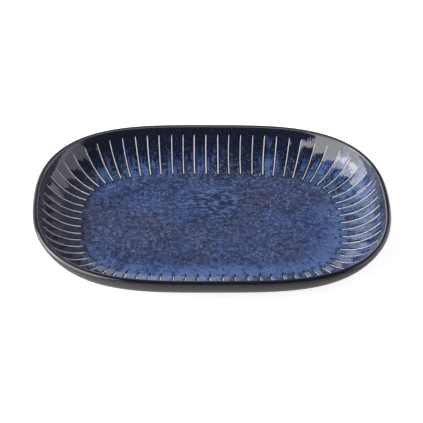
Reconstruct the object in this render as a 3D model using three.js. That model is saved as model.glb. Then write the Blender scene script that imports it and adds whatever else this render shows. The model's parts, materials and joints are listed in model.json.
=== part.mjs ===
// Oval serving plate in glazed stoneware. The dish stands on a foot ring. A blue glaze covers its inside and is
// cut through by a row of lines that show the pale clay. A charcoal glaze covers the lip, the outside and the base.
// Millimetres, +Z up. The plate stands on z = 0 with its middle on the Z axis and its length along X.

import * as THREE from "three";

// Plan of the rim: |x / half length| ^ LENGTH_POWER + |y / half width| ^ WIDTH_POWER = 1
const LENGTH = 285;
const WIDTH = 205;
const LENGTH_POWER = 3.34;
const WIDTH_POWER = 2.41;

// Section: the insets are measured inwards from the rim's outer edge, square to the rim
const FOOT_HEIGHT = 4.4;
const FLOOR_THICKNESS = 4.3;
const WELL_DEPTH = 25.3;
const WALL_RUN = 40.5;
const LIP_RADIUS = 2.5;

// Foot ring
const FOOT_INSET = 40.5;
const FOOT_WIDTH = 7;
const FOOT_TAPER = 0.8;
const FOOT_EDGE = 0.6;
const FOOT_SHOULDER = 2;

// Coats of glaze
const GLAZE_THICKNESS = 0.6;
const GLAZE_SEAT_GAP = 0.15;
const GLAZE_EDGE_GAP = 0.3;

// Lines cut through the inner glaze, evenly spaced along the middle of the wall
const LINE_COUNT = 71;
const LINE_WIDTH = 1.4;
const LINE_TOP_MARGIN = 2.5;
const LINE_FOOT_MARGIN = 2.9;

// Facets of the curved faces
const COVE_STEPS = 4;
const LIP_STEPS = 3;
const OUTER_STEPS = 4;
const ARC_LENGTH_STEPS = 2000;

// Heights above the table
const BASE_Z = FOOT_HEIGHT;
const FLOOR_Z = BASE_Z + FLOOR_THICKNESS;
const RIM_Z = FLOOR_Z + WELL_DEPTH;
const CLAY_DEPTH = GLAZE_THICKNESS + GLAZE_SEAT_GAP;

// The rim's outline, moved inwards by an inset. t runs once round, anticlockwise from +X.
class PlateOutline extends THREE.Curve {
  constructor(inset) {
    super();
    this.inset = inset;
    this.arcLengthDivisions = ARC_LENGTH_STEPS;
  }

  static rim(t) {
    const cos = Math.cos(2 * Math.PI * t);
    const sin = Math.sin(2 * Math.PI * t);
    const x = Math.sign(cos) * Math.abs(cos) ** (2 / LENGTH_POWER);
    const y = Math.sign(sin) * Math.abs(sin) ** (2 / WIDTH_POWER);
    const slopeX = Math.sign(x) * (LENGTH_POWER / LENGTH) * Math.abs(x) ** (LENGTH_POWER - 1);
    const slopeY = Math.sign(y) * (WIDTH_POWER / WIDTH) * Math.abs(y) ** (WIDTH_POWER - 1);
    const point = new THREE.Vector2((x * LENGTH) / 2, (y * WIDTH) / 2);
    const inward = new THREE.Vector2(-slopeX, -slopeY).normalize();
    const along = new THREE.Vector2(inward.y, -inward.x);
    return { point, inward, along };
  }

  getPoint(t) {
    const { point, inward } = PlateOutline.rim(t);
    point.addScaledVector(inward, this.inset);
    return new THREE.Vector3(point.x, point.y, 0);
  }
}

// Two upright columns for each line, one along each of its edges
function lineColumns() {
  const middleOfWall = new PlateOutline(WALL_RUN / 2);
  const columns = [];
  for (let line = 0; line < LINE_COUNT; line += 1) {
    const place = PlateOutline.rim(middleOfWall.getUtoTmapping(line / LINE_COUNT));
    for (const side of [-1, 1]) {
      columns.push({ ...place, shift: (side * LINE_WIDTH) / 2 });
    }
  }
  return columns;
}

const COLUMNS = lineColumns();

// Corner on a column, at an inset from the rim and a height
function cornerAt(column, [inset, z]) {
  const corner = column.point.clone();
  corner.addScaledVector(column.inward, inset);
  corner.addScaledVector(column.along, column.shift);
  return [corner.x, corner.y, z];
}

// The section is a round lip between two arcs. The cove is tangent to the floor, the outer arc to the base, and
// both are tangent to the lip, so their radii follow from the sizes above.
const LIP_CENTRE = [LIP_RADIUS, RIM_Z - LIP_RADIUS];
const COVE_SPAN = WALL_RUN - LIP_RADIUS;
const COVE_RADIUS = (COVE_SPAN ** 2 + WELL_DEPTH ** 2 - 2 * WELL_DEPTH * LIP_RADIUS) / (2 * WELL_DEPTH);
const COVE_CENTRE = [WALL_RUN, FLOOR_Z + COVE_RADIUS];
const OUTER_RUN = FOOT_INSET - FOOT_SHOULDER;
const OUTER_SPAN = OUTER_RUN - LIP_RADIUS;
const OUTER_DEPTH = RIM_Z - BASE_Z;
const OUTER_RADIUS =
  (OUTER_SPAN ** 2 + OUTER_DEPTH ** 2 - 2 * OUTER_DEPTH * LIP_RADIUS) / (2 * (OUTER_DEPTH - 2 * LIP_RADIUS));
const OUTER_CENTRE = [OUTER_RUN, BASE_Z + OUTER_RADIUS];

// Angles on the arcs are measured from straight down, towards the rim
const angleToLip = ([inset, z]) => Math.atan2(inset - LIP_CENTRE[0], z - LIP_CENTRE[1]);
const COVE_END = angleToLip(COVE_CENTRE);
const OUTER_END = angleToLip(OUTER_CENTRE);
const angleAtInset = (inset) => Math.asin((WALL_RUN - inset) / COVE_RADIUS);
const LINE_FOOT_ANGLE = angleAtInset(WALL_RUN - LINE_FOOT_MARGIN);
const LINE_TOP_ANGLE = angleAtInset(2 * LIP_RADIUS + LINE_TOP_MARGIN);
const LINE_FIRST_ROW = 1;
const LINE_LAST_ROW = LINE_FIRST_ROW + COVE_STEPS;

function evenSteps(from, to, steps) {
  return Array.from({ length: steps + 1 }, (_, step) => THREE.MathUtils.lerp(from, to, step / steps));
}

function arcPoint([inset, z], radius, angle) {
  return [inset - radius * Math.sin(angle), z - radius * Math.cos(angle)];
}

// Profiles from the floor's edge outwards, at a depth below the finished surface
function coveProfile(depth) {
  const angles = [0, ...evenSteps(LINE_FOOT_ANGLE, LINE_TOP_ANGLE, COVE_STEPS), COVE_END];
  return angles.map((angle) => arcPoint(COVE_CENTRE, COVE_RADIUS + depth, angle));
}

function lipProfile(depth, start = COVE_END) {
  const angles = evenSteps(start + Math.PI, OUTER_END, LIP_STEPS);
  return angles.map((angle) => arcPoint(LIP_CENTRE, LIP_RADIUS - depth, angle));
}

function outerProfile(depth) {
  const angles = evenSteps(OUTER_END, 0, OUTER_STEPS);
  return angles.map((angle) => arcPoint(OUTER_CENTRE, OUTER_RADIUS - depth, angle));
}

// One solid from rings of corners, one ring for each point of a profile
class RingSolid {
  constructor() {
    this.corners = [];
    this.triangles = [];
    this.rows = 0;
  }

  addRings(profile) {
    const first = this.rows;
    for (const point of profile) {
      this.corners.push(...COLUMNS.map((column) => cornerAt(column, point)));
    }
    this.rows += profile.length;
    return first;
  }

  addMiddle(z) {
    this.corners.push([0, 0, z]);
    return this.corners.length - 1;
  }

  at(row, column) {
    return row * COLUMNS.length + ((column + COLUMNS.length) % COLUMNS.length);
  }

  quad(a, b, c, d) {
    this.triangles.push(a, b, c, a, c, d);
  }

  // Faces between two rings, on the right of the way from one to the other when seen along the rim
  band(from, to) {
    COLUMNS.forEach((_, column) => {
      this.quad(this.at(from, column), this.at(to, column), this.at(to, column + 1), this.at(from, column + 1));
    });
  }

  // Faces from a ring to a corner in the middle, facing up or down
  fan(row, middle, facesUp) {
    COLUMNS.forEach((_, column) => {
      const here = this.at(row, column);
      const next = this.at(row, column + 1);
      this.triangles.push(...(facesUp ? [middle, here, next] : [middle, next, here]));
    });
  }

  geometry() {
    const geometry = new THREE.BufferGeometry();
    geometry.setAttribute("position", new THREE.Float32BufferAttribute(this.corners.flat(), 3));
    geometry.setIndex(this.triangles);
    geometry.computeVertexNormals();
    return geometry;
  }
}

// A dish from an open profile whose ends are joined to the middle, above and below
function dish(profile) {
  const solid = new RingSolid();
  solid.addRings(profile);
  for (let row = 0; row + 1 < profile.length; row += 1) {
    solid.band(row, row + 1);
  }
  const last = profile.length - 1;
  solid.fan(0, solid.addMiddle(profile[0][1]), true);
  solid.fan(last, solid.addMiddle(profile[last][1]), false);
  return solid.geometry();
}

// A ring from a closed profile
function ring(profile) {
  const solid = new RingSolid();
  solid.addRings(profile);
  profile.forEach((_, row) => solid.band(row, (row + 1) % profile.length));
  return solid.geometry();
}

// A coat between a skin and a seat of as many profile points. A cut cell is left out, and every open edge of the
// cells that stay gets a wall. A coat that covers the floor runs on from its first ring to the middle.
function coat(skin, seat, { coversFloor = false, isCut = () => false } = {}) {
  const solid = new RingSolid();
  const top = solid.addRings(skin);
  const under = solid.addRings(seat);
  const lastCell = skin.length - 2;
  const isOpen = (row, column) => {
    if (row < 0) return !coversFloor;
    return row > lastCell || isCut(row, column);
  };
  for (let row = 0; row <= lastCell; row += 1) {
    for (let column = 0; column < COLUMNS.length; column += 1) {
      if (isCut(row, column)) continue;
      const cell = [[row, column], [row + 1, column], [row + 1, column + 1], [row, column + 1]];
      const neighbours = [[row, column - 1], [row + 1, column], [row, column + 1], [row - 1, column]];
      const above = cell.map(([r, c]) => solid.at(top + r, c));
      const below = cell.map(([r, c]) => solid.at(under + r, c));
      solid.quad(...above);
      solid.quad(...below.toReversed());
      neighbours.forEach((neighbour, edge) => {
        const next = (edge + 1) % cell.length;
        if (isOpen(...neighbour)) solid.quad(above[next], above[edge], below[edge], below[next]);
      });
    }
  }
  if (coversFloor) {
    solid.fan(top, solid.addMiddle(skin[0][1]), true);
    solid.fan(under, solid.addMiddle(seat[0][1]), false);
  }
  return solid.geometry();
}

function clayBody() {
  const cove = coveProfile(CLAY_DEPTH);
  const lip = lipProfile(CLAY_DEPTH).slice(1);
  const outside = outerProfile(CLAY_DEPTH).slice(1);
  return dish([...cove, ...lip, ...outside]);
}

function footRing() {
  const topZ = BASE_Z + CLAY_DEPTH;
  const inner = FOOT_INSET + FOOT_WIDTH;
  return ring([
    [FOOT_INSET, topZ],
    [FOOT_INSET + FOOT_TAPER, FOOT_EDGE],
    [FOOT_INSET + FOOT_TAPER + FOOT_EDGE, 0],
    [inner - FOOT_TAPER - FOOT_EDGE, 0],
    [inner - FOOT_TAPER, FOOT_EDGE],
    [inner, topZ],
  ]);
}

function innerGlaze() {
  const isCut = (row, column) => {
    const betweenEdges = column % 2 === 0;
    return betweenEdges && row >= LINE_FIRST_ROW && row < LINE_LAST_ROW;
  };
  return coat(coveProfile(0), coveProfile(GLAZE_THICKNESS), { coversFloor: true, isCut });
}

function outerGlaze() {
  const start = COVE_END - GLAZE_EDGE_GAP / LIP_RADIUS;
  const foot = FOOT_INSET - GLAZE_EDGE_GAP;
  const layer = (depth) => [
    ...lipProfile(depth, start),
    ...outerProfile(depth).slice(1),
    [foot, BASE_Z + depth],
  ];
  return coat(layer(0), layer(GLAZE_THICKNESS));
}

function baseGlaze() {
  const edge = FOOT_INSET + FOOT_WIDTH + GLAZE_EDGE_GAP;
  return dish([
    [edge, BASE_Z + GLAZE_THICKNESS],
    [edge, BASE_Z],
  ]);
}

const CLAY = { color: 0xcfc6b6, roughness: 0.75 };
const FOOT_CLAY = { color: 0xb9ab97, roughness: 0.85 };
const BLUE_GLAZE = { color: 0x34466f, roughness: 0.15 };
const CHARCOAL_GLAZE = { color: 0x3b3a3b, roughness: 0.6 };

const plate = new THREE.Group();
plate.name = "serving_plate";

function addPiece(name, geometry, finish) {
  const piece = new THREE.Mesh(geometry, new THREE.MeshStandardMaterial({ ...finish, metalness: 0 }));
  piece.name = name;
  plate.add(piece);
}

addPiece("clay_body", clayBody(), CLAY);
addPiece("foot_ring", footRing(), FOOT_CLAY);
addPiece("inner_glaze", innerGlaze(), BLUE_GLAZE);
addPiece("outer_glaze", outerGlaze(), CHARCOAL_GLAZE);
addPiece("base_glaze", baseGlaze(), CHARCOAL_GLAZE);

export default plate;
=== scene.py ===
"""Dresses the oval serving plate: its clay, coats of glaze and foot ring as fine surfaces, and the studio.

Lengths are metres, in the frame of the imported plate: +X along its length, +Z up, standing on z = 0.
"""

import json
import math

import bpy
import numpy as np
from bpy.props import FloatProperty, FloatVectorProperty, IntProperty, PointerProperty
from mathutils import Matrix, Vector


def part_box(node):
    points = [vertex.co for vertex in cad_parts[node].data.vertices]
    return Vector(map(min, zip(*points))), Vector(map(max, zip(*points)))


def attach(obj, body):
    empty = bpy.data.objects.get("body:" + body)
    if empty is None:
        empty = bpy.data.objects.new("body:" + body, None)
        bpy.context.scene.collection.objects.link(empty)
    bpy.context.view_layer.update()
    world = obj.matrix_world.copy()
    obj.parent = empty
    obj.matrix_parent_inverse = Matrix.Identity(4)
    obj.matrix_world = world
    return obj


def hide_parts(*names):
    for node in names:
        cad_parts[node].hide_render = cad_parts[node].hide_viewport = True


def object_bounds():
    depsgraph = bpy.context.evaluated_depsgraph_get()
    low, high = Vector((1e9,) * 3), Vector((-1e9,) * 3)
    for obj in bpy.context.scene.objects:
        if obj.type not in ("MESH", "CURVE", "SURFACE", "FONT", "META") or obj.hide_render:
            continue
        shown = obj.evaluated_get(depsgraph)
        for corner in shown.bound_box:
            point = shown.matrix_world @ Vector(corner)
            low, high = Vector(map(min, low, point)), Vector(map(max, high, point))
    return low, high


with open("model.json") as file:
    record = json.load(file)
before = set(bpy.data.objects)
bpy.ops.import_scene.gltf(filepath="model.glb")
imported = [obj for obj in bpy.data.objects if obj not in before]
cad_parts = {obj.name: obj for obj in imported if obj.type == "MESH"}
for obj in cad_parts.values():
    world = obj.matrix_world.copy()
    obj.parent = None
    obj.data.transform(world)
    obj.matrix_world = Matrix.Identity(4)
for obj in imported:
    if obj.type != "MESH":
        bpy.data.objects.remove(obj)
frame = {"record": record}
CAD_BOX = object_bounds()
MOUNTS = {mount["name"]: mount["pos_m"] for mount in frame["record"]["mounts"]}

bl_info = {
    "name": "Oval Serving Plate",
    "version": (1, 0, 0),
    "blender": (4, 5, 0),
    "location": "View3D > Sidebar > Plate",
    "description": "Builds a glazed stoneware plate with cut lines, and a studio around it",
    "category": "Add Mesh",
}

BODY = "root"
CREASE = math.radians(50)


# Settings


def length(name, description, default):
    """A size in metres."""
    return FloatProperty(name=name, description=description, default=default, unit="LENGTH", precision=5)


def number(name, description, default):
    """A plain number."""
    return FloatProperty(name=name, description=description, default=default)


def colour(name, description, default):
    """A linear colour."""
    return FloatVectorProperty(
        name=name, description=description, default=default, subtype="COLOR", size=3, min=0, max=1
    )


def angle(name, description, degrees):
    """An angle, given in degrees and kept in radians."""
    return FloatProperty(name=name, description=description, default=math.radians(degrees), unit="ROTATION")


class PlateForm(bpy.types.PropertyGroup):
    """Sizes of the plate's body."""

    length: length("Length", "Rim to rim along X", 0.285)
    width: length("Width", "Rim to rim along Y", 0.205)
    length_power: number("Length power", "Squareness of the rim along X", 3.34)
    width_power: number("Width power", "Squareness of the rim along Y", 2.41)
    rim_height: length("Rim height", "Top of the lip above the table", CAD_BOX[1].z)
    floor_height: length("Floor height", "Glazed floor above the table", MOUNTS["serving_floor"][2])
    base_height: length("Base height", "Glazed underside above the table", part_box("base_glaze")[0].z)
    wall_run: length("Wall run", "From the rim's outer edge in to the flat floor", 0.0405)
    lip_radius: length("Lip radius", "Roundness of the lip", 0.0025)
    warp: length("Warp", "How far firing has pulled the rim out of true", 0.00015)
    foot_inset: length("Foot inset", "From the rim's outer edge in to the foot ring", 0.0405)
    foot_width: length("Foot width", "Width of the foot ring where it meets the base", 0.007)
    foot_taper: length("Foot taper", "How far each side of the foot ring leans in", 0.0008)
    foot_round: length("Foot round", "Roundness of the foot ring's lower edges", 0.0011)
    foot_shoulder: length("Foot shoulder", "Flat of the base outside the foot ring", 0.002)


class GlazeForm(bpy.types.PropertyGroup):
    """Sizes of the coats of glaze and of the lines cut through the inner one."""

    thickness: length("Thickness", "Thickness of a coat", 0.00016)
    seat_gap: length("Seat gap", "Between a coat and the clay", 0.00002)
    edge_gap: length("Edge gap", "Between two coats, or a coat and the foot ring", 0.00003)
    pillow: length("Pillow", "How far the glaze swells between two lines", 0.0001)
    line_count: IntProperty(name="Lines", description="Lines round the wall", default=71, min=8)
    line_width: length("Line width", "Width of bare clay in a line", 0.00084)
    line_flare: number("Line flare", "Share by which lines are wider at the left end", 0.4)
    line_rise: length("Line rise", "How far the clay of a line stands over the glaze beside it", 0.00027)
    line_sink: number("Line sink", "Share of its height a line loses at the front", 0.9)
    line_round: length("Line round", "Roundness of the glaze along a line", 0.0009)
    line_top: length("Line top", "From the lip down to the lines", 0.0023)
    line_foot: length("Line foot", "From the floor's edge out to the lines", 0.0029)
    line_wander: length("Line wander", "How far a hand-cut line strays from even spacing", 0.0003)


class PlateColours(bpy.types.PropertyGroup):
    """Colours of the glazes and of the clay."""

    deep_blue: colour("Deep blue", "Thin blue glaze of the wall", (0.0035, 0.0055, 0.018))
    navy: colour("Navy", "Dark clouds of the floor", (0.007, 0.014, 0.05))
    mid_blue: colour("Mid blue", "Most of the floor", (0.026, 0.053, 0.158))
    # Violet is also painted as a sheen low on the wall at the left end, in the blue glaze.
    violet: colour("Violet", "Dull patches of the floor", (0.036, 0.036, 0.074))
    run_blue: colour("Run blue", "Runs of thicker glaze on the wall", (0.046, 0.098, 0.265))
    pool_blue: colour("Pool blue", "Thick blue glaze at the floor's edge", (0.08, 0.155, 0.35))
    fleck_blue: colour("Fleck blue", "Pale flecks in the blue glaze", (0.21, 0.28, 0.52))
    clay: colour("Clay", "Bare clay in the lines", (0.82, 0.815, 0.81))
    iron: colour("Iron", "Iron specks in the clay", (0.16, 0.09, 0.05))
    foot_clay: colour("Foot clay", "Bare clay of the foot ring", (0.42, 0.36, 0.28))
    charcoal: colour("Charcoal", "Matt glaze of the outside", (0.04, 0.038, 0.039))
    charcoal_dark: colour("Dark charcoal", "Matt glaze where it is thick", (0.023, 0.022, 0.023))
    lip: colour("Lip", "Smooth glaze over the lip", (0.005, 0.006, 0.012))
    # The lip break's pale line is partly a painted highlight along the lip.
    lip_break_highlight: colour("Lip break", "Where the glaze breaks thin along the lip", (0.112, 0.11, 0.122))


class StudioSetup(bpy.types.PropertyGroup):
    """Camera, lamps and floor."""

    azimuth: angle("Azimuth", "Camera's way round the plate from the front", -2.405)
    elevation: angle("Elevation", "Camera's height above the horizon", 38.849)
    roll: angle("Roll", "Camera's lean", -1.553)
    distance: length("Distance", "Camera to what it looks at", 1.1803)
    lens: FloatProperty(name="Lens", description="Focal length in millimetres", default=127.2, unit="CAMERA")
    aim: FloatVectorProperty(
        name="Aim", description="What the camera looks at", default=(-0.0008, -0.0169, CAD_BOX[1].z),
        subtype="TRANSLATION", unit="LENGTH",
    )
    floor_size: length("Floor size", "Side of the floor", 24)
    floor_colour: colour("Floor colour", "Pale floor", (0.7, 0.7, 0.7))
    floor_lift: number("Floor lift", "White added where the floor is seen", 0.8)
    horizon: colour("Horizon", "World at the horizon", (0.9, 0.9, 0.9))
    room_front: colour("Room in front", "World in front of the plate and over it", (0.11, 0.11, 0.114))
    room_back: colour("Room behind", "World behind the plate", (0.265, 0.258, 0.28))


# The plate's form


class Section:
    """The plate's section, as insets from the rim's outer edge and heights.

    A round lip joins two arcs. The cove is tangent to the floor and to the lip from outside it, the outer arc
    to the base and round the lip, so each radius follows from its run, its rise and the lip. Angles run from
    straight down towards the rim: inset = centre inset - radius * sin, height = centre height - radius * cos.
    """

    def __init__(self, form):
        lip = form.lip_radius
        rise = form.rim_height - form.floor_height
        height = form.rim_height - form.base_height
        span = form.wall_run - lip
        outer_run = form.foot_inset - form.foot_shoulder
        outer_span = outer_run - lip
        self.lip_radius = lip
        self.lip_centre = (lip, form.rim_height - lip)
        self.cove_radius = (span**2 + rise**2 - 2 * rise * lip) / (2 * rise)
        self.cove_centre = (form.wall_run, form.floor_height + self.cove_radius)
        self.cove_end = self.angle_to_lip(self.cove_centre)
        self.outer_radius = (outer_span**2 + height**2 - 2 * height * lip) / (2 * (height - 2 * lip))
        self.outer_centre = (outer_run, form.base_height + self.outer_radius)
        self.outer_end = self.angle_to_lip(self.outer_centre)

    def angle_to_lip(self, centre):
        """Angle at which the arc round a centre meets the lip."""
        return math.atan2(centre[0] - self.lip_centre[0], centre[1] - self.lip_centre[1])

    @staticmethod
    def arc(centre, radius, angles):
        """Insets and heights along an arc round a centre."""
        return np.stack([centre[0] - radius * np.sin(angles), centre[1] - radius * np.cos(angles)], -1)

    def cove(self, depth, angles):
        """Inner wall, at a depth below the finished surface."""
        return self.arc(self.cove_centre, self.cove_radius + depth, angles)

    def lip(self, depth, steps, start=0.0):
        """Lip from the cove over the top to the outside, from a start angle past the cove's end."""
        angles = np.linspace(self.cove_end + math.pi - start, self.outer_end, steps + 1)
        return self.arc(self.lip_centre, self.lip_radius - depth, angles)

    def outside(self, depth, steps):
        """Outer wall from the lip down to the flat base."""
        angles = np.linspace(self.outer_end, 0.0, steps + 1)
        return self.arc(self.outer_centre, self.outer_radius - depth, angles)


def smooth_step(share):
    """3 s^2 - 2 s^3 for a share s from 0 to 1, which starts and ends level."""
    share = np.clip(share, 0, 1)
    return share * share * (3 - 2 * share)


def rim_frame(form, turns):
    """Point, inward and along directions of the rim at shares of a turn.

    The rim is |x / a|^p + |y / b|^q = 1, so x = a sgn(cos) |cos|^(2/p) and y = b sgn(sin) |sin|^(2/q). Inward
    is downhill on that sum, and along is inward turned a quarter turn back.
    """
    cos, sin = np.cos(2 * np.pi * turns), np.sin(2 * np.pi * turns)
    x = np.sign(cos) * np.abs(cos) ** (2 / form.length_power)
    y = np.sign(sin) * np.abs(sin) ** (2 / form.width_power)
    slope_x = np.sign(x) * form.length_power / form.length * np.abs(x) ** (form.length_power - 1)
    slope_y = np.sign(y) * form.width_power / form.width * np.abs(y) ** (form.width_power - 1)
    inward = -np.stack([slope_x, slope_y], -1)
    inward /= np.linalg.norm(inward, axis=-1, keepdims=True)
    along = np.stack([inward[..., 1], -inward[..., 0]], -1)
    point = np.stack([x * form.length / 2, y * form.width / 2], -1)
    return point, inward, along


def outline_run(form, inset, samples=4000):
    """Shares of a turn round the rim, and how far the outline moved in by an inset has run at each."""
    turns = np.linspace(0, 1, samples + 1)
    point, inward, _ = rim_frame(form, turns)
    steps = np.diff(point + inset * inward, axis=0)
    return turns, np.concatenate([[0], np.cumsum(np.hypot(steps[:, 0], steps[:, 1]))])


def turns_at(form, inset, shares):
    """Shares of a turn at which the rim, moved in by an inset, has run shares of its whole length."""
    turns, run = outline_run(form, inset)
    whole = np.floor(shares)
    return whole + np.interp((shares - whole) * run[-1], run, turns)


# Waves of the warped rim: number round it, share of the warp and start of each. The drop lowers them all.
WARP_WAVES = ((2, 0.6, 0.7), (3, 0.4, 2.1))
WARP_DROP = 0.5


def warped_height(form, turns, height):
    """Heights with the rim pulled out of true by waves round it that grow as the square of the height."""
    rise = np.clip((height - form.base_height) / (form.rim_height - form.base_height), 0, 1)
    waves = [part * np.sin(2 * np.pi * count * turns + start) for count, part, start in WARP_WAVES]
    return height + form.warp * (sum(waves) - WARP_DROP) * rise**2


def ring_points(form, turns, inset, height, shift=0.0):
    """Rings of points, as rows by columns: rim point + inset * inward + shift * along, at a height."""
    point, inward, along = rim_frame(form, turns)
    inset, height, shift, _ = np.broadcast_arrays(inset, height, shift, turns[None, :])
    plan = point + inset[..., None] * inward + shift[..., None] * along
    return np.concatenate([plan, warped_height(form, turns, height)[..., None]], -1)


# Meshes


def ring_quads(rows, columns, closed):
    """Quads between rings of points, row to row. A closed profile runs on from its last ring to its first."""
    index = np.arange(rows * columns).reshape(rows, columns)
    here = index if closed else index[:-1]
    there = np.roll(index, -1, 0) if closed else index[1:]
    return np.stack([here, there, np.roll(there, -1, 1), np.roll(here, -1, 1)], -1).reshape(-1, 4)


def ring_fan(ring, middle, faces_up):
    """Triangles from a ring of points to a point in its middle."""
    after = np.roll(ring, -1)
    middle = np.full_like(ring, middle)
    order = [middle, ring, after] if faces_up else [middle, after, ring]
    return np.stack(order, -1)


def dish_mesh(points):
    """A closed dish: rings of points from the floor round the section to the base, both middles filled."""
    rows, columns, _ = points.shape
    middles = points[[0, -1]].mean(1)
    corners = np.concatenate([points.reshape(-1, 3), middles])
    top, bottom = len(corners) - 2, len(corners) - 1
    ring = np.arange(columns)
    fans = np.concatenate([ring_fan(ring, top, True), ring_fan(ring + (rows - 1) * columns, bottom, False)])
    return corners, ring_quads(rows, columns, closed=False).tolist() + fans.tolist()


def coat_mesh(skin, seat, kept, covers_floor):
    """A closed coat between a skin and a seat, both rings of points.

    kept marks the cells that are there, by row and column. A kept cell has a quad on the skin and one the
    other way round on the seat, and each of its edges with no kept cell beyond it has a wall from skin to
    seat. A coat that covers the floor has a fan from its first ring to the middle, on both sides.
    """
    rows, columns, _ = skin.shape
    count = rows * columns
    cells = ring_quads(rows, columns, closed=False).reshape(rows - 1, columns, 4)
    framed = np.pad(kept, ((1, 1), (0, 0)), constant_values=((covers_floor, False), (False, False)))
    beyond = [np.roll(kept, 1, 1), framed[2:], np.roll(kept, -1, 1), framed[:-2]]
    faces = [cells[kept], cells[kept][:, ::-1] + count]
    for edge, neighbour in enumerate(beyond):
        bare = kept & ~neighbour
        start, end = cells[bare][:, edge], cells[bare][:, (edge + 1) % 4]
        faces.append(np.stack([end, start, start + count, end + count], -1))
    corners = np.concatenate([skin.reshape(-1, 3), seat.reshape(-1, 3)])
    polygons = np.concatenate(faces).tolist()
    if covers_floor:
        first = np.arange(columns)
        corners = np.concatenate([corners, skin[:1].mean(1), seat[:1].mean(1)])
        polygons += ring_fan(first, 2 * count, True).tolist()
        polygons += ring_fan(first + count, 2 * count + 1, False).tolist()
    return corners, polygons


def add_piece(name, mesh_data, material, node, attributes=()):
    """Puts corners and faces into a mesh object that stands for a node and takes its material slot.

    attributes are names with a value or a vector for each corner.
    """
    corners, faces = mesh_data
    mesh = bpy.data.meshes.new(name)
    mesh.from_pydata(corners.tolist(), [], faces)
    for key, values in attributes:
        values = np.asarray(values, np.float32)
        kind, field = ("FLOAT", "value") if values.ndim == 1 else ("FLOAT_VECTOR", "vector")
        mesh.attributes.new(key, kind, "POINT").data.foreach_set(field, values.ravel())
    mesh.polygons.foreach_set("use_smooth", np.ones(len(mesh.polygons), bool))
    mesh.set_sharp_from_angle(angle=CREASE)
    mesh.materials.append(material)
    mesh.update()
    mesh.validate()
    piece = bpy.data.objects.new(name, mesh)
    bpy.context.scene.collection.objects.link(piece)
    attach(piece, BODY)
    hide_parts(node)


# Pieces


def even_columns(form, count):
    """Columns evenly spaced along the middle of the wall."""
    return turns_at(form, form.wall_run / 2, np.arange(count) / count)


def outer_coat(form, glaze, columns=576, lip_steps=20, wall_steps=36):
    """The coat over lip and outside: the section's lip and outer arc, then flat to the foot ring.

    Its corners carry their way down from the inside of the lip.
    """
    section = Section(form)
    start = glaze.edge_gap / form.lip_radius

    def layer(depth):
        lip, wall = section.lip(depth, lip_steps, start), section.outside(depth, wall_steps)
        flat = [[form.foot_inset - glaze.edge_gap, form.base_height + depth]]
        return np.concatenate([lip, wall[1:], flat])

    turns = even_columns(form, columns)
    skin, seat = layer(0.0), layer(glaze.thickness)
    sheets = [ring_points(form, turns, rows[:, :1], rows[:, 1:]) for rows in (skin, seat)]
    kept = np.ones((len(skin) - 1, columns), bool)
    way = np.concatenate([[0], np.cumsum(np.hypot(*np.diff(skin, axis=0).T))])
    down = np.tile(np.repeat(way, columns), 2)
    return coat_mesh(*sheets, kept, covers_floor=False), [("down", down)]


def base_coat(form, glaze, columns=360, rings=10):
    """The coat inside the foot ring: a flat sheet from it to the middle, as rings that shrink evenly."""
    edge = form.foot_inset + form.foot_width + glaze.edge_gap
    turns = even_columns(form, columns)
    ring = ring_points(form, turns, np.array([[edge]]), np.array([[form.base_height]]))[0]
    under = ring * np.linspace(1, 1 / rings, rings)[:, None, None]
    under[..., 2] = form.base_height
    above = under[::-1] + np.array([0, 0, glaze.thickness])
    return dish_mesh(np.concatenate([above, under]))


def foot_ring(form, glaze, columns=432, round_steps=6):
    """The foot: two leaning sides and a flat face, joined by quarter rounds, carried round the outline."""
    top = form.base_height + glaze.thickness + glaze.seat_gap
    bend = np.linspace(0, np.pi / 2, round_steps + 1)
    radius = form.foot_round
    outer = form.foot_inset + form.foot_taper
    inner = form.foot_inset + form.foot_width - form.foot_taper
    outer_edge = np.stack([outer + radius * (1 - np.cos(bend)), radius * (1 - np.sin(bend))], -1)
    inner_edge = np.stack([inner - radius * (1 - np.sin(bend)), radius * (1 - np.cos(bend))], -1)
    outer_top, inner_top = [[form.foot_inset, top]], [[form.foot_inset + form.foot_width, top]]
    profile = np.concatenate([outer_top, outer_edge, inner_edge, inner_top])
    points = ring_points(form, even_columns(form, columns), profile[:, :1], profile[:, 1:])
    return points.reshape(-1, 3), ring_quads(len(profile), columns, closed=True).tolist()


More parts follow.
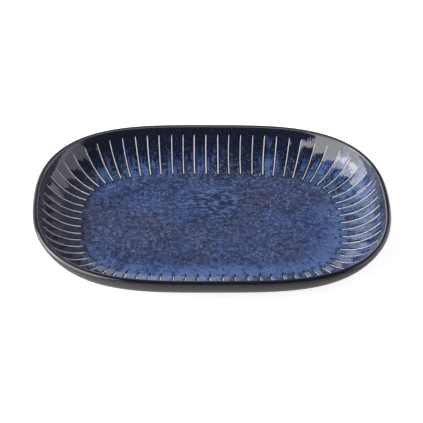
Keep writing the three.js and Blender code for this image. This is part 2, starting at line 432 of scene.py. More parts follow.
class LinePattern:
    """Where each line lies, how wide and high it is, and the columns that follow its edges.

    Each line has a fan of columns on both sides, at set distances from its edge, and two more columns on the
    land after it. Lines stray a little from even spacing, and differ a little in width and bow. At the left
    end they are wider. At the front their clay sinks towards the glaze, and each starts from a point.
    """

    # Columns beside a line as shares of its round, on the land as shares of it, and across a line's clay
    SIDE = np.array([0.0, 0.11, 0.32, 0.64, 1.0])
    LAND = np.array([0.4, 0.6])
    RIDGE = np.sin(np.linspace(-0.5, 0.5, 9) * np.pi)
    SLOT_CELL = len(SIDE) - 1

    # A gap that stands for the land, far from any line
    LAND_GAP = 1.0

    # Inward's Y from which a line counts as in front, and at which it does so fully
    FRONT = (-0.1, 0.6)

    # Hand-cut unevenness: limit of the stray in wanders, spread and limit of the width, and spread of the bow
    STRAY_LIMIT = 1.6
    UNEVEN = 0.08
    UNEVEN_LIMIT = 0.2
    BOW = 0.00018

    # Shares of the full width: at the foot, lost on the way up, and filled by clay
    FOOT_WIDTH = 0.98
    NARROWING = 0.12
    CLAY_FILL = 0.94

    # Ends of a line: the share of its way that each takes, and the share of the width lost there
    TOP_END = (0.1, 0.32)
    FOOT_END = (0.05, 0.25)
    FRONT_POINT = (0.14, 0.85)

    # Shares of a line's way over which its clay runs out at the foot and at the top
    RUN_OUT = (0.03, 0.06)

    def __init__(self, form, glaze, seed=11):
        rng = np.random.default_rng(seed)
        count = glaze.line_count
        wall_middle = form.wall_run / 2
        pitch = outline_run(form, wall_middle)[1][-1] / count
        limit = self.STRAY_LIMIT * glaze.line_wander
        stray = np.clip(rng.normal(0, glaze.line_wander, count), -limit, limit)
        turns = turns_at(form, wall_middle, (np.arange(count) + stray / pitch) / count)
        after = np.append(turns[1:], turns[0] + 1)
        inward = rim_frame(form, turns)[1]
        first, full = self.FRONT
        self.front = smooth_step((inward[:, 1] - first) / (full - first))
        uneven = np.clip(rng.normal(0, self.UNEVEN, count), -self.UNEVEN_LIMIT, self.UNEVEN_LIMIT)
        flare = glaze.line_flare * np.clip(inward[:, 0], 0, 1) ** 2
        self.width = glaze.line_width * (1 + flare) * (1 + uneven)
        self.height = 1 - glaze.line_sink * self.front
        self.bow = rng.normal(0, self.BOW, count)
        sides = 2 * len(self.SIDE)
        land = turns[:, None] + (after - turns)[:, None] * self.LAND
        self.turns = np.concatenate([np.repeat(turns[:, None], sides, 1), land], 1)
        self.reach = np.concatenate([-self.SIDE[::-1], self.SIDE]) * glaze.line_round
        self.side = np.sign(np.arange(sides) - sides / 2 + 0.5)

    def columns(self):
        return self.turns.ravel()

    def slots(self):
        """The cell of each line's slot, among all columns."""
        return np.arange(self.SLOT_CELL, self.turns.size, self.turns.shape[1])

    @staticmethod
    def end_loss(end, left):
        """Share of the width lost towards an end, as a square, with a share of the way left to it."""
        way, loss = end
        return loss * np.clip(1 - left / way, 0, 1) ** 2

    def spread(self, share):
        """Sideways place of each line's middle and its half width, for rows at shares of the way up it.

        The middle bows as a sine. The width narrows evenly upwards, as a square at both ends, and evenly to
        the point of a front line.
        """
        rise = np.clip(share, 0, 1)
        ends = self.end_loss(self.TOP_END, 1 - share) + self.end_loss(self.FOOT_END, share)
        taper = self.FOOT_WIDTH - self.NARROWING * rise - ends
        way, loss = self.FRONT_POINT
        point = 1 - self.front[None, :] * np.clip(1 - share / way, 0, loss)[:, None]
        middle = self.bow[None, :] * np.sin(np.pi * rise)[:, None]
        half = 0.5 * self.width[None, :] * taper[:, None] * point
        return middle[..., None], half[..., None]

    def with_land(self, fan):
        """Sideways shift of every column by row: the lines' fans, and none on the land."""
        land = np.zeros((*fan.shape[:2], len(self.LAND)))
        return np.concatenate([fan, land], -1).reshape(len(fan), -1)

    def shifts(self, share):
        """Sideways shift of every column of the coat: middle, half width and reach."""
        middle, half = self.spread(share)
        return self.with_land(middle + half * self.side + self.reach)

    def ridges(self, share):
        """Columns of the clay: their turns, their shifts by row and their rise by row.

        The rise is a share of a line's full height. With s the place across the line from -1 to 1, it is the
        line's own height * sqrt(1 - s^2), and it runs out at both ends as a square root.
        """
        middle, half = self.spread(share)
        shifts = self.with_land(middle + self.CLAY_FILL * half * self.RIDGE)
        on_line = np.repeat(self.turns[:, :1], len(self.RIDGE), 1)
        turns = np.concatenate([on_line, self.turns[:, -len(self.LAND):]], 1)
        across = np.append(self.RIDGE, np.ones(len(self.LAND)))
        bulge = self.height[:, None] * np.sqrt(1 - across**2)
        foot, top = self.RUN_OUT
        ends = np.clip(share / foot, 0, 1) * np.clip((1 - share) / top, 0, 1)
        return turns.ravel(), shifts, np.sqrt(ends)[:, None] * bulge.ravel()

    def gaps(self, rows):
        """Distance of every column from the edge of its nearest line."""
        one = np.append(np.abs(self.reach), np.full(len(self.LAND), self.LAND_GAP))
        return np.tile(one, (rows, len(self.turns)))


def wall_rows(section, glaze, inner_steps=26, lip_steps=4):
    """Ways up the cove from the floor's edge, close together at both ends of the lines, and those ends."""
    foot = section.cove_radius * math.asin(glaze.line_foot / section.cove_radius)
    top_inset = 2 * section.lip_radius + glaze.line_top
    top = section.cove_radius * math.asin((section.cove_centre[0] - top_inset) / section.cove_radius)
    reach = LinePattern.SIDE[1:] * glaze.line_round
    below = np.concatenate([[0.0, (foot - reach[-1]) / 2], foot - reach[::-1]])
    inside = np.linspace(foot, top, inner_steps + 1)
    above = top + reach
    lip = np.linspace(above[-1], section.cove_radius * section.cove_end, lip_steps + 1)[1:]
    return np.concatenate([below, inside, above, lip]), foot, top


def clay_body(form, glaze, lip_steps=8, outer_steps=20):
    """The dish: floor's edge, cove, lip, outside and base at the depth of the coats, as one closed section.

    In each slot of the blue coat the clay rises in a low round line.
    """
    section = Section(form)
    lines = LinePattern(form, glaze)
    way, foot, top = wall_rows(section, glaze)
    turns, shifts, rise = lines.ridges((way - foot) / (top - foot))
    depth = glaze.thickness + glaze.seat_gap
    angles = np.broadcast_to((way / section.cove_radius)[:, None], rise.shape)
    cove = section.cove(depth - (depth + glaze.line_rise) * rise, angles)
    rest = np.concatenate([section.lip(depth, lip_steps)[1:], section.outside(depth, outer_steps)[1:]])
    profile = np.concatenate([cove, np.broadcast_to(rest[:, None], (len(rest), len(turns), 2))])
    shifts = np.concatenate([shifts, np.repeat(shifts[-1:], len(rest), 0)])
    return dish_mesh(ring_points(form, turns, profile[..., 0], profile[..., 1], shifts))


# Shares of the blue coat: its stand at a slot's edge, its swell close to a line and where it swells fully
SLOT_STAND = 0.7
SIDE_SWELL = 0.35
FULL_SWELL_FROM = 0.9

# Innermost ring of the floor, and how far below a line's foot its thin dark glaze and painted shade reach, as
# shares
FIRST_RING = 0.04
FOOT_SHADE_REACH = 0.5

# Way from the floor's edge to its middle, and the floor's gap to the lines, as the pattern counts them
FLOOR_WAY = 0.06
FLOOR_GAP = 0.02


def inner_coat(form, glaze, floor_rows=12):
    """The blue coat: floor and cove less a slot for each line, its skin rounded down to every slot.

    With x the distance from a slot as a share of the round, the skin's stand over its seat grows from a part
    of the thickness to all of it as 3x^2 - 2x^3, and it swells between the lines. The floor's rings are the
    cove's first ring, shrunk to the middle. Its corners carry the glaze's flow, which is their place on the
    rim and their way down from the lip, and their gap to the nearest line.
    """
    section = Section(form)
    lines = LinePattern(form, glaze)
    way, foot, top = wall_rows(section, glaze)
    share = (way - foot) / (top - foot)
    turns, shifts = lines.columns(), lines.shifts(share)
    beside = lines.gaps(len(way))
    beyond = np.maximum(np.maximum(foot - way, way - top), 0)[:, None]
    x = np.clip(np.hypot(beside, beyond) / glaze.line_round, 0, 1)
    stand = SLOT_STAND + (1 - SLOT_STAND) * smooth_step(x)
    between = np.where(beside > FULL_SWELL_FROM * glaze.line_round, 1.0, SIDE_SWELL)
    swell = between * np.sin(np.pi * np.clip(share, 0, 1))[:, None]
    depth = glaze.thickness * (1 - stand) - glaze.pillow * swell * x
    angles = np.broadcast_to((way / section.cove_radius)[:, None], shifts.shape)

    def rings(depth):
        """Rings of the floor and the wall, at a depth below the finished surface."""
        profile = section.cove(depth, angles)
        wall = ring_points(form, turns, profile[..., 0], profile[..., 1], shifts)
        floor = wall[0] * np.linspace(FIRST_RING, 1, floor_rows + 1)[:-1, None, None]
        floor[..., 2] = wall[0][:, 2].mean()
        return np.concatenate([floor, wall])

    def for_corners(values, middle):
        """Values by ring for the corners of skin and seat, and a value for their two middles."""
        flat = values.reshape(-1, *values.shape[2:])
        return np.concatenate([flat, flat, [middle, middle]])

    skin, seat = rings(depth), rings(np.full_like(depth, glaze.thickness))
    halfway = (way[:-1] + way[1:]) / 2
    in_line = np.append(np.zeros(floor_rows, bool), (halfway > foot) & (halfway < top))
    kept = np.ones((len(skin) - 1, len(turns)), bool)
    kept[np.ix_(in_line, lines.slots())] = False

    end = section.cove_radius * section.cove_end
    down = np.concatenate([end + np.linspace(FLOOR_WAY, 0, floor_rows + 1)[:-1], end - way])
    flow = np.empty(skin.shape)
    flow[..., :2] = rim_frame(form, turns)[0]
    flow[..., 2] = down[:, None]
    # Gap to the nearest line, stretched below its foot so that the thin glaze and painted shade reach there
    # too
    line_shade_gap = np.hypot(beside, np.maximum(FOOT_SHADE_REACH * (foot - way), way - top).clip(0)[:, None])
    gap = np.concatenate([np.full((floor_rows, len(turns)), FLOOR_GAP), line_shade_gap])
    attributes = [
        ("flow", for_corners(flow, [0, 0, end + FLOOR_WAY])),
        ("line_gap", for_corners(gap, FLOOR_GAP)),
    ]
    return coat_mesh(skin, seat, kept, covers_floor=True), attributes


# Shader nodes


class Nodes:
    """Adds nodes to a tree. An input is a plain value or another node's output."""

    def __init__(self, tree):
        self.tree = tree

    def feed(self, socket, value):
        if isinstance(value, bpy.types.NodeSocket):
            self.tree.links.new(value, socket)
        else:
            socket.default_value = value

    def add(self, kind, inputs=None, **settings):
        node = self.tree.nodes.new("ShaderNode" + kind)
        for key, value in settings.items():
            setattr(node, key, value)
        for key, value in (inputs or {}).items():
            self.feed(node.inputs[key], value)
        return node

    def spot(self):
        return self.add("TexCoord").outputs["Object"]

    def attribute(self, name, output="Fac"):
        return self.add("Attribute", attribute_name=name).outputs[output]

    def axis(self, vector, name):
        return self.add("SeparateXYZ", {"Vector": vector}).outputs[name]

    def moved(self, vector, offset=(0, 0, 0), scale=(1, 1, 1)):
        return self.add("Mapping", {"Vector": vector, "Location": offset, "Scale": scale}).outputs["Vector"]

    def noise(self, vector, scale, detail=2.0, roughness=0.5, distortion=0.0):
        inputs = {"Vector": vector, "Scale": scale, "Detail": detail, "Roughness": roughness}
        return self.add("TexNoise", {**inputs, "Distortion": distortion}).outputs["Fac"]

    def math(self, operation, first, second):
        return self.add("Math", {0: first, 1: second}, operation=operation).outputs["Value"]

    def total(self, first, *others):
        """Several values added up."""
        for value in others:
            first = self.math("ADD", first, value)
        return first

    def ramp(self, value, low, high, from_value=0.0, to_value=1.0):
        """Smooth step from one value to another as the input runs from low to high."""
        inputs = {"Value": value, "From Min": low, "From Max": high, "To Min": from_value, "To Max": to_value}
        return self.add("MapRange", inputs, interpolation_type="SMOOTHSTEP").outputs["Result"]

    def mix(self, factor, first, second):
        """Two colours mixed by a factor."""
        node = self.add("Mix", {"Factor": factor}, data_type="RGBA")
        colours = [socket for socket in node.inputs if socket.type == "RGBA"]
        for socket, value in zip(colours, (first, second)):
            self.feed(socket, value)
        return next(socket for socket in node.outputs if socket.type == "RGBA")

    def group(self, tree, inputs):
        return self.add("Group", inputs, node_tree=tree).outputs

    def bump(self, height, distance):
        inputs = {"Height": height, "Distance": distance, "Strength": 1.0}
        return self.add("Bump", inputs).outputs["Normal"]


def rgba(value, strength=1.0):
    """A colour made darker or paler by a strength, with its alpha."""
    return (*(strength * channel for channel in value), 1.0)


def new_group(name, inputs, outputs):
    """An empty node group with named sockets. Returns it, its nodes, its inputs and the outputs to feed."""
    tree = bpy.data.node_groups.new(name, "ShaderNodeTree")
    for key, kind in inputs:
        tree.interface.new_socket(key, in_out="INPUT", socket_type="NodeSocket" + kind)
    for key, kind in outputs:
        tree.interface.new_socket(key, in_out="OUTPUT", socket_type="NodeSocket" + kind)
    start = tree.nodes.new("NodeGroupInput")
    end = tree.nodes.new("NodeGroupOutput")
    return tree, Nodes(tree), start.outputs, end.inputs


def fleck_group():
    """Round flecks: a cell is a fleck where its random value is over Bare, and fades out from its middle."""
    name = "plate_flecks"
    if name in bpy.data.node_groups:
        return bpy.data.node_groups[name]
    inputs = [("Vector", "Vector"), ("Scale", "Float"), ("Bare", "Float")]
    tree, nodes, start, end = new_group(name, inputs, [("Mask", "Float")])
    bend = (0.0006, 0.0006, 0.0006)
    bent = nodes.add("TexNoise", {"Vector": start["Vector"], "Scale": 900.0, "Detail": 1.0}).outputs["Color"]
    wobble = nodes.add("VectorMath", {0: bent, 1: bend}, operation="MULTIPLY").outputs["Vector"]
    place = nodes.add("VectorMath", {0: start["Vector"], 1: wobble}, operation="ADD").outputs["Vector"]
    cells = nodes.add("TexVoronoi", {"Vector": place, "Scale": start["Scale"]})
    dot = nodes.ramp(cells.outputs["Distance"], 0.18, 0.52, 1.0, 0.0)
    chance = nodes.axis(cells.outputs["Color"], "X")
    over_bare = {"Value": chance, "From Min": start["Bare"], "From Max": 1.0}
    lit = nodes.add("MapRange", over_bare).outputs["Result"]
    nodes.feed(end["Mask"], nodes.math("MULTIPLY", dot, lit))
    return tree


def grain_group():
    """Fired grain: a coarse and a fine noise, as a height and as a tone about one half."""
    name = "plate_grain"
    if name in bpy.data.node_groups:
        return bpy.data.node_groups[name]
    inputs = [("Vector", "Vector"), ("Scale", "Float")]
    tree, nodes, start, end = new_group(name, inputs, [("Height", "Float"), ("Tone", "Float")])
    coarse = nodes.noise(start["Vector"], nodes.math("MULTIPLY", start["Scale"], 0.12), 4.0, 0.6)
    fine = nodes.noise(start["Vector"], start["Scale"], 3.0, 0.65)
    nodes.feed(end["Height"], nodes.math("ADD", nodes.math("MULTIPLY", coarse, 0.6), fine))
    nodes.feed(end["Tone"], coarse)
    return tree


def new_material(name):
    """A material with its Principled shader. Returns the material, its nodes and the shader's inputs."""
    material = bpy.data.materials.new(name)
    material.use_nodes = True
    shader = material.node_tree.nodes["Principled BSDF"]
    return material, Nodes(material.node_tree), shader.inputs


# Finishes

# Where the two ends of the plate start and are reached, along X
LEFT_END = (-0.092, -0.112)
RIGHT_END = (0.07, 0.13)

# Ways down from the lip, at which the wall turns into the floor and the pool between them starts and stops
FLOOR_EDGE = (0.0405, 0.048)
POOL_START = (0.036, 0.045)
POOL_STOP = (0.046, 0.06)

# Gaps to a line, between which the glaze thickens and the painted shade beside the line fades out
LINE_DARKENING = (0.0004, 0.0015)

# Ways down from the inside of the lip: the end of its smooth glaze, and the start and stop of its thin pale
# line, partly a painted highlight
LIP_END = (0.0062, 0.0072)
BREAK_HIGHLIGHT_START = (0.001, 0.0013)
BREAK_HIGHLIGHT_STOP = (0.0019, 0.0024)

GLAZE_IOR = 1.6


def blue_glaze(colours):
    """Glossy blue glaze, in layers.

    The floor is clouds of navy and mid blue with dull violet patches, marbling and clusters of pale flecks,
    and near the back a wrinkled patch with dark and pale ripples painted in as reflection. The wall is deep
    blue, with runs of thicker glaze that grow downwards, lighter at the right end and darker at the left end
    partly as painted sheen and shade, and a violet sheen painted low at the left end. Between the two lies a
    pool of pale blue, more on one side, partly as painted reflection. Along the lines the glaze is thin and
    almost black, and the dark there is partly painted shade.
    """
    material, nodes, surface = new_material("blue_glaze")
    spot = nodes.spot()
    flow = nodes.attribute("flow", "Vector")
    down = nodes.axis(flow, "Z")
    side = nodes.axis(spot, "X")
    left = nodes.ramp(side, *LEFT_END)
    right = nodes.ramp(side, *RIGHT_END)
    lower = nodes.math("ADD", down, nodes.math("MULTIPLY", right, 0.015))
    marble = nodes.noise(spot, 230.0, 5.0, 0.72)
    cluster = nodes.noise(nodes.moved(spot, (0.9, 2.3, 0.0)), 60.0, 3.0, 0.6)
    flecks = nodes.group(fleck_group(), {"Vector": spot, "Scale": 600.0, "Bare": 0.3})["Mask"]

    # Clouds and dull patches of the floor
    clouds = nodes.noise(spot, 34.0, 4.0, 0.65, 0.4)
    floor = nodes.mix(nodes.ramp(clouds, 0.34, 0.62), rgba(colours.navy), rgba(colours.mid_blue))
    dull = nodes.noise(nodes.moved(spot, (3.1, 1.7, 0.0)), 18.0, 4.0, 0.6)
    floor = nodes.mix(nodes.ramp(dull, 0.42, 0.66, 0.0, 0.74), floor, rgba(colours.violet))

    # Runs of the wall: streaks down it, uneven round it, less of them near the lip and at the left end
    # More runs at the right end, which also counts as lower, and fewer at the far left end: partly the glaze,
    # partly painted sheen on the right and painted shade on the left
    streak = nodes.noise(nodes.moved(flow, scale=(1.0, 1.0, 0.3)), 240.0, 4.0, 0.7)
    slow = nodes.noise(nodes.moved(flow, (0.3, 0.8, 0.0), (1.0, 1.0, 0.6)), 46.0, 2.0, 0.5)
    less_right = nodes.ramp(right, 0.0, 1.0, 1.0, 0.3)
    amount = nodes.total(
        nodes.ramp(streak, 0.2, 0.8, 0.47, 1.47),
        nodes.math("MULTIPLY", nodes.ramp(slow, 0.15, 0.85, -0.5, 0.5), less_right),
        nodes.math("MULTIPLY", right, 0.1),
        nodes.ramp(lower, 0.002, 0.008, -0.6, 0.0),
        nodes.ramp(side, -0.12, -0.07, -0.5, 0.0),
        nodes.ramp(lower, 0.008, 0.034, -0.34, 0.1),
    )
    wall = nodes.mix(nodes.ramp(amount, 0.82, 1.4), rgba(colours.deep_blue), rgba(colours.run_blue))
    wall = nodes.mix(nodes.ramp(amount, 1.15, 1.6, 0.0, 0.45), wall, rgba(colours.pool_blue))
    # Painted sheen: violet mixed in low on the wall at the left end, standing in for the reflection seen
    # there
    painted_left_sheen = nodes.math("MULTIPLY", left, nodes.ramp(down, 0.012, 0.034, 0.0, 0.6))
    wall = nodes.mix(painted_left_sheen, wall, rgba(colours.violet))
    inwards = nodes.math("SUBTRACT", down, nodes.math("MULTIPLY", left, 0.004))
    tone = nodes.mix(nodes.ramp(inwards, *FLOOR_EDGE), wall, floor)

    # Pool at the floor's edge, more of it to the front and the right, where the extra pale blue is partly a
    # painted reflection
    lean = nodes.math("SUBTRACT", nodes.math("MULTIPLY", side, 0.35), nodes.axis(spot, "Y"))
    pooled = nodes.math("ADD", cluster, nodes.ramp(lean, -0.05, 0.09, -0.16, 0.25))
    band = nodes.math("MULTIPLY", nodes.ramp(down, *POOL_START), nodes.ramp(down, *POOL_STOP, 1.0, 0.0))
    pool = nodes.math("MULTIPLY", nodes.ramp(pooled, 0.42, 0.66, 0.0, 0.8), band)
    tone = nodes.mix(pool, tone, rgba(colours.pool_blue))

    # Marbling and flecks, rich low on the wall and on the floor, richer at the right end and less so at the
    # left end, partly as painted sheen and painted shade
    less_left = nodes.ramp(left, 0.0, 1.0, 1.0, 0.3)
    rich = nodes.math("MULTIPLY", nodes.ramp(lower, 0.01, 0.044, 0.1, 1.0), less_left)
    light = nodes.math("MULTIPLY", nodes.ramp(marble, 0.48, 0.69, 0.0, 0.7), rich)
    tone = nodes.mix(light, tone, rgba(colours.pool_blue))
    tone = nodes.mix(nodes.ramp(marble, 0.49, 0.36, 0.0, 0.95), tone, rgba(colours.navy))
    bright = nodes.math("MULTIPLY", flecks, nodes.ramp(cluster, 0.36, 0.6, 0.4, 1.0))
    tone = nodes.mix(nodes.math("MULTIPLY", bright, rich), tone, rgba(colours.fleck_blue))

    # Wrinkled patch near the back: its bumps, and dark and pale ripples painted in as the reflections that
    # the wrinkles break up
    reach = nodes.moved(spot, (-0.09, -1.05, 0.0), (29.0, 38.0, 0.0))
    from_middle = nodes.add("VectorMath", {0: reach}, operation="LENGTH").outputs["Value"]
    patch = nodes.ramp(from_middle, 0.35, 1.1, 1.0, 0.0)
    wrinkle = nodes.noise(nodes.moved(spot, scale=(0.6, 1.3, 1.0)), 300.0, 3.0, 0.6, 0.3)
    dark = nodes.math("MULTIPLY", nodes.ramp(wrinkle, 0.505, 0.56), patch)
    tone = nodes.mix(dark, tone, rgba(colours.navy))
    pale = nodes.math("MULTIPLY", nodes.ramp(wrinkle, 0.48, 0.41, 0.0, 0.8), patch)
    tone = nodes.mix(pale, tone, rgba(colours.pool_blue))

    # Thin dark glaze along the lines, darkened further as painted shade beside each line and below its foot,
    # and the gloss
    edge = nodes.ramp(nodes.attribute("line_gap"), *LINE_DARKENING, 0.97, 0.0)
    tone = nodes.mix(edge, tone, rgba(colours.deep_blue, 0.4))
    nodes.feed(surface["Base Color"], tone)
    nodes.feed(surface["Roughness"], nodes.ramp(marble, 0.3, 0.8, 0.05, 0.12))
    peel = {0: wrinkle, 1: patch, 2: nodes.noise(spot, 260.0, 2.0, 0.5)}
    height = nodes.add("Math", peel, operation="MULTIPLY_ADD").outputs["Value"]
    nodes.feed(surface["Normal"], nodes.bump(height, 0.00014))
    surface["IOR"].default_value = GLAZE_IOR
    return material


def bare_clay(colours):
    """Pale fired clay: pale grain with a few iron specks."""
    material, nodes, surface = new_material("bare_clay")
    spot = nodes.spot()
    grain = nodes.group(grain_group(), {"Vector": spot, "Scale": 2200.0})
    tone = nodes.mix(grain["Tone"], rgba(colours.clay, 0.78), rgba(colours.clay))
    specks = nodes.group(fleck_group(), {"Vector": spot, "Scale": 420.0, "Bare": 0.94})["Mask"]
    nodes.feed(surface["Base Color"], nodes.mix(specks, tone, rgba(colours.iron)))
    nodes.feed(surface["Roughness"], nodes.ramp(grain["Tone"], 0.3, 0.7, 0.45, 0.65))
    nodes.feed(surface["Normal"], nodes.bump(grain["Height"], 0.00006))
    return material


def foot_clay(colours):
    """Bare clay of the foot: coarser grain, iron specks, and a darker worn face."""
    material, nodes, surface = new_material("foot_clay")
    spot = nodes.spot()
    grain = nodes.group(grain_group(), {"Vector": spot, "Scale": 1600.0})
    tone = nodes.mix(grain["Tone"], rgba(colours.foot_clay, 0.7), rgba(colours.foot_clay))
    worn = nodes.ramp(nodes.axis(spot, "Z"), 0.0, 0.0014, 0.45, 0.0)
    tone = nodes.mix(worn, tone, rgba(colours.foot_clay, 0.5))
    specks = nodes.group(fleck_group(), {"Vector": spot, "Scale": 380.0, "Bare": 0.8})["Mask"]
    nodes.feed(surface["Base Color"], nodes.mix(specks, tone, rgba(colours.iron)))
    nodes.feed(surface["Roughness"], nodes.ramp(grain["Tone"], 0.3, 0.7, 0.7, 0.9))
    nodes.feed(surface["Normal"], nodes.bump(grain["Height"], 0.00012))
    return material


def charcoal_glaze(colours, name):
    """Matt charcoal glaze: uneven tone with fine pale flecks. Returns the material and its nodes."""
    material, nodes, surface = new_material(name)
    spot = nodes.spot()
    grain = nodes.group(grain_group(), {"Vector": spot, "Scale": 1900.0})
    tone = nodes.mix(nodes.ramp(grain["Tone"], 0.3, 0.6), rgba(colours.charcoal_dark), rgba(colours.charcoal))
    flecks = nodes.group(fleck_group(), {"Vector": spot, "Scale": 900.0, "Bare": 0.7})["Mask"]
    tone = nodes.mix(nodes.math("MULTIPLY", flecks, 0.5), tone, rgba(colours.charcoal, 2.0))
    nodes.feed(surface["Base Color"], tone)
    nodes.feed(surface["Roughness"], nodes.ramp(grain["Tone"], 0.3, 0.7, 0.4, 0.52))
    nodes.feed(surface["Normal"], nodes.bump(grain["Height"], 0.00006))
    surface["Specular IOR Level"].default_value = 0.085
    return material, nodes


def charcoal_with_lip(colours, name):
    """Charcoal glaze, smooth and almost black over the lip, with one thin line there: glaze break and painted
    highlight.
    """
    material, nodes = charcoal_glaze(colours, name)
    spot = nodes.spot()
    down = nodes.attribute("down")
    uneven = nodes.math("ADD", down, nodes.math("MULTIPLY", nodes.noise(spot, 60.0), 0.0012))
    smooth = nodes.ramp(uneven, *LIP_END, 1.0, 0.0)
    # The thin line: glaze breaking thin, painted pale enough to stand in for a highlight along the lip too
    broken = nodes.math("ADD", down, nodes.math("MULTIPLY", nodes.noise(spot, 140.0), 0.0004))
    thin = nodes.math("MULTIPLY", nodes.ramp(broken, *BREAK_HIGHLIGHT_START), nodes.ramp(broken, *BREAK_HIGHLIGHT_STOP, 1.0, 0.0))
    shade = nodes.mix(nodes.math("MULTIPLY", thin, 0.9), rgba(colours.lip), rgba(colours.lip_break_highlight))
    gloss = nodes.add("BsdfPrincipled", {"Base Color": shade, "Roughness": 0.12, "IOR": GLAZE_IOR})
    matt = nodes.tree.nodes["Principled BSDF"].outputs["BSDF"]
    both = nodes.add("MixShader", {0: smooth, 1: matt, 2: gloss.outputs["BSDF"]}).outputs["Shader"]
    nodes.feed(nodes.tree.nodes["Material Output"].inputs["Surface"], both)
    return material


def pale_floor(studio):
    """Pale matt floor. Where it is seen, directly or in a gloss, white is added, and the shadow stays."""
    material, nodes, _ = new_material("pale_floor")
    nodes.tree.nodes.remove(nodes.tree.nodes["Principled BSDF"])
    path = nodes.add("LightPath").outputs
    seen = nodes.math("MAXIMUM", path["Is Camera Ray"], path["Is Glossy Ray"])
    seen = nodes.math("MAXIMUM", seen, path["Is Transmission Ray"])
    matt = nodes.add("BsdfDiffuse", {"Color": rgba(studio.floor_colour)}).outputs["BSDF"]
    strength = nodes.math("MULTIPLY", seen, studio.floor_lift)
    lift = nodes.add("Emission", {"Strength": strength}).outputs["Emission"]
    both = nodes.add("AddShader", {0: matt, 1: lift}).outputs["Shader"]
    nodes.feed(nodes.tree.nodes["Material Output"].inputs["Surface"], both)
    return material


# Studio

# Lamp panels: name, way round and height in degrees, distance, size, radiance and tint
PANELS = (
    ("main_softbox", -102, 27, 1.1, (1.95, 1.15), 4.65, (1.0, 0.99, 1.0)),
    ("softbox_core", -86, 31, 1.03, (0.36, 0.36), 6.0, (1.0, 0.97, 1.02)),
    ("back_left_panel", -24, 17, 1.3, (1.25, 0.7), 1.15, (0.95, 1.0, 1.12)),
    ("right_reflector", 80, 18, 1.1, (1.5, 1.0), 1.22, (1.0, 0.97, 1.14)),
    ("back_right_card", 33, 14, 1.3, (0.4, 0.7), 0.2, (1.0, 0.98, 1.1)),
)

# Millimetres
SENSOR_WIDTH = 36


def away(azimuth, elevation):
    """Unit vector from the plate, for a way round from the back to the right and a height, in degrees."""
    turn, rise = math.radians(azimuth), math.radians(elevation)
    return Vector((math.sin(turn) * math.cos(rise), math.cos(turn) * math.cos(rise), math.sin(rise)))


def add_panel(name, azimuth, elevation, distance, size, radiance, tint):
    """A soft lamp panel that faces the plate, as bright as a radiance over its whole size."""
    lamp = bpy.data.lights.new(name, "AREA")
    lamp.shape = "RECTANGLE"
    lamp.size, lamp.size_y = size
    lamp.energy = radiance * size[0] * size[1] * math.pi
    lamp.color = tint
    panel = bpy.data.objects.new(name, lamp)
    out = away(azimuth, elevation)
    panel.location = out * distance
    panel.rotation_mode = "QUATERNION"
    panel.rotation_quaternion = out.to_track_quat("Z", "Y")
    bpy.context.scene.collection.objects.link(panel)


def dim_room(studio):
    """World: pale at the horizon, dim above it, and a little brighter behind the plate than before it."""
    world = bpy.data.worlds.new("dim_room")
    world.use_nodes = True
    nodes = Nodes(world.node_tree)
    way = nodes.add("TexCoord").outputs["Generated"]
    behind = nodes.ramp(nodes.axis(way, "Y"), 0.0, 0.7)
    above = nodes.ramp(nodes.axis(way, "Z"), 0.03, 0.16)
    room = nodes.mix(behind, rgba(studio.room_front), rgba(studio.room_back))
    tone = nodes.mix(above, rgba(studio.horizon), room)
    nodes.feed(nodes.tree.nodes["Background"].inputs["Color"], tone)
    bpy.context.scene.world = world


def add_camera(studio):
    """Camera on a line from its aim: back is that line, right is level across it, both lean by the roll."""
    turn, rise, roll = studio.azimuth, studio.elevation, studio.roll
    back = Vector((math.sin(turn) * math.cos(rise), -math.cos(turn) * math.cos(rise), math.sin(rise)))
    right = Vector((math.cos(turn), math.sin(turn), 0))
    up = back.cross(right)
    across = right * math.cos(roll) - up * math.sin(roll)
    upright = right * math.sin(roll) + up * math.cos(roll)
    camera = bpy.data.objects.new("camera", bpy.data.cameras.new("camera"))
    camera.data.sensor_width = SENSOR_WIDTH
    camera.data.lens = studio.lens
    turned = Matrix((across, upright, back)).transposed().to_4x4()
    camera.matrix_world = Matrix.Translation(Vector(studio.aim) + back * studio.distance) @ turned
    bpy.context.scene.collection.objects.link(camera)
    bpy.context.scene.camera = camera


def add_floor(studio):
    """A level square floor under the plate, on z = 0."""
    side = np.array([-0.5, 0.5]) * studio.floor_size
    x, y = np.meshgrid(side, side)
    corners = np.stack([x.ravel(), y.ravel(), np.zeros(4)], -1)
    mesh = bpy.data.meshes.new("floor")
    mesh.from_pydata(corners.tolist(), [], [(0, 1, 3, 2)])
    mesh.materials.append(pale_floor(studio))
    floor = bpy.data.objects.new("floor", mesh)
    bpy.context.scene.collection.objects.link(floor)


# Operators


class PLATE_OT_clay(bpy.types.Operator):
    """Make the clay dish and its foot ring"""

    bl_idname = "plate.clay"
    bl_label = "Clay dish and foot"

    def execute(self, context):
        scene = context.scene
        form, glaze, colours = scene.plate_form, scene.plate_glaze, scene.plate_colours
        add_piece("stoneware_dish", clay_body(form, glaze), bare_clay(colours), "clay_body")
        add_piece("stoneware_foot", foot_ring(form, glaze), foot_clay(colours), "foot_ring")
        return {"FINISHED"}


class PLATE_OT_inner_coat(bpy.types.Operator):
    """Make the blue coat with its cut lines"""

    bl_idname = "plate.inner_coat"
    bl_label = "Blue inner coat"

    def execute(self, context):
        scene = context.scene
        mesh, attributes = inner_coat(scene.plate_form, scene.plate_glaze)
        add_piece("blue_coat", mesh, blue_glaze(scene.plate_colours), "inner_glaze", attributes)
        return {"FINISHED"}


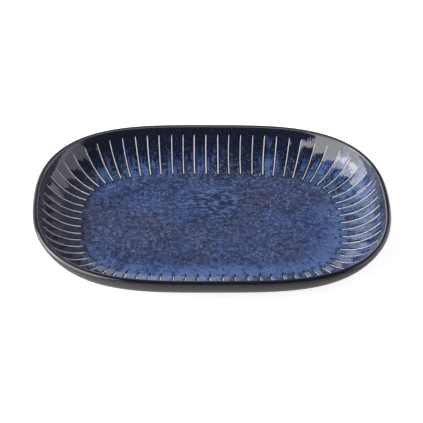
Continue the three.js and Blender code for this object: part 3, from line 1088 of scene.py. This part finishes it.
class PLATE_OT_outer_coats(bpy.types.Operator):
    """Make the charcoal coats of the outside and of the base"""

    bl_idname = "plate.outer_coats"
    bl_label = "Charcoal outer coats"

    def execute(self, context):
        scene = context.scene
        form, glaze, colours = scene.plate_form, scene.plate_glaze, scene.plate_colours
        mesh, attributes = outer_coat(form, glaze)
        outside = charcoal_with_lip(colours, "charcoal_outside")
        base, _ = charcoal_glaze(colours, "charcoal_base")
        add_piece("charcoal_coat", mesh, outside, "outer_glaze", attributes)
        add_piece("charcoal_base", base_coat(form, glaze), base, "base_glaze")
        return {"FINISHED"}


class PLATE_OT_studio(bpy.types.Operator):
    """Make the floor, the lamps, the world and the camera"""

    bl_idname = "plate.studio"
    bl_label = "Studio"

    def execute(self, context):
        studio = context.scene.plate_studio
        add_floor(studio)
        for panel in PANELS:
            add_panel(*panel)
        dim_room(studio)
        add_camera(studio)
        context.scene.view_settings.view_transform = "Standard"
        return {"FINISHED"}


OPERATORS = (PLATE_OT_studio, PLATE_OT_clay, PLATE_OT_inner_coat, PLATE_OT_outer_coats)


class PLATE_PT_panel(bpy.types.Panel):
    """Lists the plate's steps"""

    bl_idname = "PLATE_PT_panel"
    bl_label = "Serving plate"
    bl_space_type = "VIEW_3D"
    bl_region_type = "UI"
    bl_category = "Plate"

    def draw(self, context):
        for operator in OPERATORS:
            self.layout.operator(operator.bl_idname)


SETTINGS = {
    "plate_form": PlateForm,
    "plate_glaze": GlazeForm,
    "plate_colours": PlateColours,
    "plate_studio": StudioSetup,
}
CLASSES = (*SETTINGS.values(), *OPERATORS, PLATE_PT_panel)


def register():
    for item in CLASSES:
        bpy.utils.register_class(item)
    for name, group in SETTINGS.items():
        setattr(bpy.types.Scene, name, PointerProperty(type=group))


def unregister():
    for name in SETTINGS:
        delattr(bpy.types.Scene, name)
    for item in reversed(CLASSES):
        bpy.utils.unregister_class(item)


def main():
    register()
    bpy.ops.plate.studio()
    bpy.ops.plate.clay()
    bpy.ops.plate.inner_coat()
    bpy.ops.plate.outer_coats()


if __name__ == "__main__":
    main()
